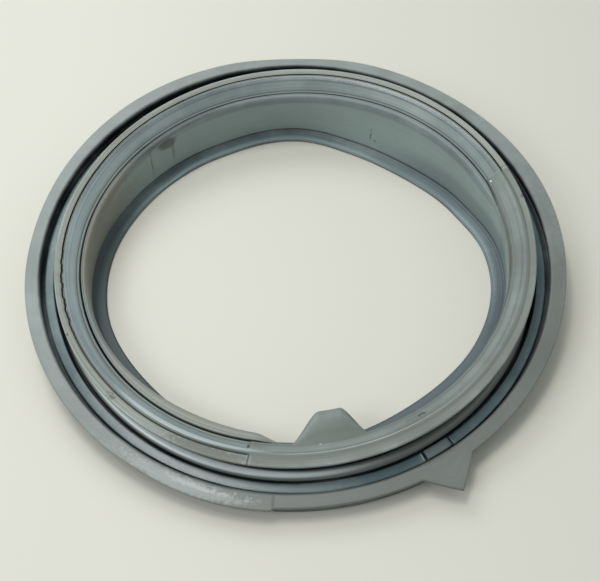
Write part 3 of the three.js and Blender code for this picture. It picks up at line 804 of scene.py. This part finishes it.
def rubber_grain():
    """Fine moulded grain, cloudy tone, streaks that run round the ring, and tool lines."""
    inputs = ("Position", "Run", "Grain Scale")
    group, given, out = new_group("Moulded grain", inputs, ("Grain", "Cloud", "Streak", "Lines"))
    fine = {"Vector": given["Position"], "Scale": given["Grain Scale"], "Detail": 3}
    group.links.new(put(group, "ShaderNodeTexNoise", fine), out["Grain"])
    cloud = {"Vector": given["Position"], "Scale": 22, "Detail": 5, "Roughness": 0.6}
    group.links.new(put(group, "ShaderNodeTexNoise", cloud), out["Cloud"])
    split = group.nodes.new("ShaderNodeSeparateXYZ")
    group.links.new(given["Position"], split.inputs[0])
    east = reckon(group, "MULTIPLY", split.outputs[0], 14)
    north = reckon(group, "MULTIPLY", split.outputs[1], 14)
    across = combine(group, east, north, reckon(group, "MULTIPLY", given["Run"], 0.9))
    streak = {"Vector": across, "Scale": 1, "Detail": 4, "Roughness": 0.65}
    group.links.new(put(group, "ShaderNodeTexNoise", streak), out["Streak"])
    lines = {"W": given["Run"], "Scale": 1.3, "Detail": 1}
    lines = put(group, "ShaderNodeTexNoise", lines, noise_dimensions="1D")
    group.links.new(lines, out["Lines"])
    return group


def patch_group():
    """Mask of one patch, for a mark or for painted light and shade: an oval round a place on the
    seal, its rim broken up by noise.
    """
    inputs = ("Angle", "Run", "Noise", "At Angle", "At Run", "Half Angle", "Half Run", "Ragged")
    group, given, out = new_group("Patch", inputs, ("Mask",))
    turn = reckon(group, "SUBTRACT", given["Angle"], given["At Angle"])
    turn = reckon(group, "WRAP", turn, 180, -180)
    round_share = reckon(group, "DIVIDE", turn, given["Half Angle"])
    run = reckon(group, "SUBTRACT", given["Run"], given["At Run"])
    along_share = reckon(group, "DIVIDE", run, given["Half Run"])
    square = reckon(group, "MULTIPLY", round_share, round_share)
    away = reckon(group, "SQRT", reckon(group, "MULTIPLY_ADD", along_share, along_share, square))
    rough = reckon(group, "SUBTRACT", given["Noise"], 0.5)
    rough = reckon(group, "MULTIPLY", rough, given["Ragged"])
    away = reckon(group, "MULTIPLY_ADD", rough, 2, away)
    mask = {"Value": away, 1: 1, 2: 0.5, 3: 0, 4: 1}
    mask = put(group, "ShaderNodeMapRange", mask, interpolation_type="SMOOTHSTEP")
    group.links.new(mask, out["Mask"])
    return group


def tinted(tree, share, first, second):
    """Mixes two colours, each a socket or a linear colour, by a share from 0 to 1."""
    mix = tree.nodes.new("ShaderNodeMix")
    mix.data_type = "RGBA"
    for socket, value in ((mix.inputs[0], share), (mix.inputs[6], first), (mix.inputs[7], second)):
        if isinstance(value, bpy.types.NodeSocket):
            tree.links.new(value, socket)
        else:
            socket.default_value = value
    return mix.outputs[2]


def ranged(tree, value, low, high, to_low=0.0, to_high=1.0):
    """Eases from one value to another while the given one goes from low to high."""
    limits = {"Value": value, 1: low, 2: high, 3: to_low, 4: to_high}
    return put(tree, "ShaderNodeMapRange", limits, interpolation_type="SMOOTHSTEP")


def attribute(tree, name):
    node = tree.nodes.new("ShaderNodeAttribute")
    node.attribute_name = name
    return node.outputs["Vector"]


def seal_rubber():
    """The rubber's material: each band's tone, then film, marks, painted light and shade and the
    cuts' painted shade, then satin and bump.
    """
    material = bpy.data.materials.new("grey seal rubber")
    material.use_nodes = True
    tree = material.node_tree
    shader = tree.nodes["Principled BSDF"]
    where = tree.nodes.new("ShaderNodeGroup")
    where.node_tree = place_on_seal()
    angle, run = where.outputs["Angle"], where.outputs["Run"]
    position = tree.nodes.new("ShaderNodeTexCoord").outputs["Object"]
    grain = tree.nodes.new("ShaderNodeGroup")
    grain.node_tree = rubber_grain()
    tree.links.new(position, grain.inputs["Position"])
    tree.links.new(run, grain.inputs["Run"])
    grain.inputs["Grain Scale"].default_value = GRAIN_SCALE
    cloud, streak = grain.outputs["Cloud"], grain.outputs["Streak"]
    # Read back: edge share, the cuts' painted shade, and gloss.
    edge_cut_gloss = tree.nodes.new("ShaderNodeSeparateXYZ")
    tree.links.new(attribute(tree, "edge_cut_gloss"), edge_cut_gloss.inputs[0])
    edge, cut, gloss = edge_cut_gloss.outputs

    # Grime has dried on the head's band in streaks, less on the plain arc, with dark specks.
    arc = reckon(tree, "GREATER_THAN", angle, PLAIN_FROM)
    arc = reckon(tree, "MAXIMUM", arc, reckon(tree, "LESS_THAN", angle, PLAIN_TO - 360))
    on_head = ranged(tree, run, runs["head"] - 0.5, runs["head"] + 1)
    off_head = ranged(tree, run, runs["slope"] - 0.4, runs["slope"] + 0.6, 1, 0)
    film = reckon(tree, "MULTIPLY", reckon(tree, "MULTIPLY", on_head, off_head), 0.9)
    film = reckon(tree, "MULTIPLY", film, reckon(tree, "MULTIPLY_ADD", arc, -0.6, 1))
    film = reckon(tree, "MULTIPLY", film, ranged(tree, streak, 0.3, 0.62, 0.2, 1))
    colour = tinted(tree, film, attribute(tree, "tone"), GRIME)
    specks = {"Vector": position, "Scale": 420, "Detail": 2}
    specks = ranged(tree, put(tree, "ShaderNodeTexNoise", specks), 0.66, 0.74)
    specks = reckon(tree, "MULTIPLY", specks, reckon(tree, "MULTIPLY", film, 0.4))
    colour = tinted(tree, specks, colour, SPECK_GREY)

    # The plain arc is one duller grey from the head to the roll, and edges are paler: partly
    # rubbed, partly a painted highlight along them.
    plain = reckon(tree, "MULTIPLY", on_head, reckon(tree, "LESS_THAN", run, runs["roll"]))
    plain = reckon(tree, "MULTIPLY", reckon(tree, "MULTIPLY", plain, arc), 0.75)
    colour = tinted(tree, plain, colour, PLAIN_GREY)
    pale_edges = reckon(tree, "MULTIPLY", edge, ranged(tree, cloud, 0.35, 0.75, 0, 0.35))
    colour = tinted(tree, pale_edges, colour, RUBBED_AND_HIGHLIT)

    # Marks and patches of painted light and shade lie over each other in the list's order. Then
    # the cuts are painted dark as shade, less so in the first slit at the near left.
    ragged = {"Vector": position, "Scale": 330, "Detail": 4, "Roughness": 0.7}
    ragged = put(tree, "ShaderNodeTexNoise", ragged)
    patch = patch_group()
    for at_angle, band, offset, half_angle, half_run, rough, strength, patch_colour in MARKS_AND_PAINTED_SHADING:
        node = tree.nodes.new("ShaderNodeGroup")
        node.node_tree = patch
        for label, socket in (("Angle", angle), ("Run", run), ("Noise", ragged)):
            tree.links.new(socket, node.inputs[label])
        node.inputs["At Angle"].default_value = at_angle
        node.inputs["At Run"].default_value = runs[band] + offset
        node.inputs["Half Angle"].default_value = half_angle
        node.inputs["Half Run"].default_value = half_run
        node.inputs["Ragged"].default_value = rough
        share = reckon(tree, "MULTIPLY", node.outputs[0], strength)
        colour = tinted(tree, share, colour, (*patch_colour, 1))
    less_cut_shade = reckon(tree, "LESS_THAN", run, runs["slope"])
    less_cut_shade = reckon(tree, "MULTIPLY", less_cut_shade, ranged(tree, angle, 198, 222, 0, 0.55))
    cut = reckon(tree, "MULTIPLY", cut, reckon(tree, "SUBTRACT", 0.95, less_cut_shade))
    colour = tinted(tree, cut, colour, CUT_SHADE)

    # The tone is cloudy and streaked, with fine tool lines on the head and its slope. The
    # polished bands lose their gloss at the block and on the plain arc.
    tone = reckon(tree, "MULTIPLY_ADD", cloud, 0.3, 0.85)
    tone = reckon(tree, "MULTIPLY", tone, ranged(tree, streak, 0.2, 0.8, 0.94, 1.05))
    off_slope = ranged(tree, run, runs["collar"] - 0.5, runs["collar"], 0.6, 0)
    lined = reckon(tree, "MULTIPLY", on_head, off_slope)
    from_block = reckon(tree, "ABSOLUTE", reckon(tree, "SUBTRACT", angle, BLOCK_MIDDLE))
    gloss = reckon(tree, "MULTIPLY", gloss, ranged(tree, from_block, 3, 5))
    gloss = reckon(tree, "MULTIPLY", gloss, reckon(tree, "MULTIPLY_ADD", plain, -1.2, 1))
    lines = reckon(tree, "SUBTRACT", grain.outputs["Lines"], 0.5)
    tone = reckon(tree, "MULTIPLY", tone, reckon(tree, "MULTIPLY_ADD", lines, lined, 1))
    scaled = tree.nodes.new("ShaderNodeVectorMath")
    scaled.operation = "SCALE"
    tree.links.new(colour, scaled.inputs[0])
    tree.links.new(tone, scaled.inputs["Scale"])
    tree.links.new(scaled.outputs[0], shader.inputs["Base Color"])
    satin = reckon(tree, "MULTIPLY_ADD", film, 0.15, ranged(tree, cloud, 0.2, 0.8, 0.44, 0.5))
    satin = reckon(tree, "MULTIPLY_ADD", gloss, -0.22, satin)
    tree.links.new(satin, shader.inputs["Roughness"])
    shader.inputs["Specular IOR Level"].default_value = 0.5
    height = reckon(tree, "MULTIPLY_ADD", streak, 2.5, grain.outputs["Grain"])
    height = reckon(tree, "MULTIPLY_ADD", reckon(tree, "MULTIPLY", lines, lined), 5, height)
    bump = {"Height": height, "Strength": 0.25, "Distance": 0.00008}
    tree.links.new(put(tree, "ShaderNodeBump", bump), shader.inputs["Normal"])
    return material


seal = swept_seal(seal_rubber())
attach(seal, "root")
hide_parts("door_seal")


# The table: a plain off-white sheet under a pale room, with soft lamps high over its far
# left, and the light of two windows beside it.
TABLE_HALF = 4
TABLE_DROP = 0.0004
TABLE_WHITE = (0.59, 0.574, 0.508, 1)
table_corners = [
    (x * TABLE_HALF, y * TABLE_HALF, -TABLE_DROP) for x, y in ((-1, -1), (1, -1), (1, 1), (-1, 1))
]
floor_mesh = bpy.data.meshes.new("table")
floor_mesh.from_pydata(table_corners, [], [(0, 1, 2, 3)])
floor = bpy.data.objects.new("table", floor_mesh)
bpy.context.scene.collection.objects.link(floor)
table_white = bpy.data.materials.new("table white")
table_white.use_nodes = True
table_shader = table_white.node_tree.nodes["Principled BSDF"]
table_shader.inputs["Base Color"].default_value = TABLE_WHITE
table_shader.inputs["Roughness"].default_value = 0.6
floor_mesh.materials.append(table_white)


def soft_light(name, azimuth, elevation, distance, size, power, colour):
    """A round lamp that faces the seal: degrees, then metres, then watts."""
    data = bpy.data.lights.new(name, "AREA")
    data.shape = "DISK"
    data.size = size
    data.energy = power
    data.color = colour
    light = bpy.data.objects.new(name, data)
    turn, rise = math.radians(azimuth), math.radians(elevation)
    out = math.cos(rise)
    place = Vector((math.cos(turn) * out, math.sin(turn) * out, math.sin(rise)))
    light.location = place * distance
    light.rotation_euler = place.to_track_quat("Z", "Y").to_euler()
    bpy.context.scene.collection.objects.link(light)


soft_light("ceiling", 137, 77, 1.66, 0.55, 8, (1, 0.99, 0.97))
soft_light("low window", 214, 44, 1.8, 0.8, 8, (0.96, 0.99, 1))
soft_light("far window", 120, 46, 2, 1.1, 13, (0.97, 1, 1))
soft_light("lamp", 190, 73, 2, 0.12, 3, (1, 0.98, 0.92))
world = bpy.data.worlds.new("room")
world.use_nodes = True
room = world.node_tree.nodes["Background"]
room.inputs["Color"].default_value = (0.93, 0.99, 1, 1)
room.inputs["Strength"].default_value = 0.52
bpy.context.scene.world = world
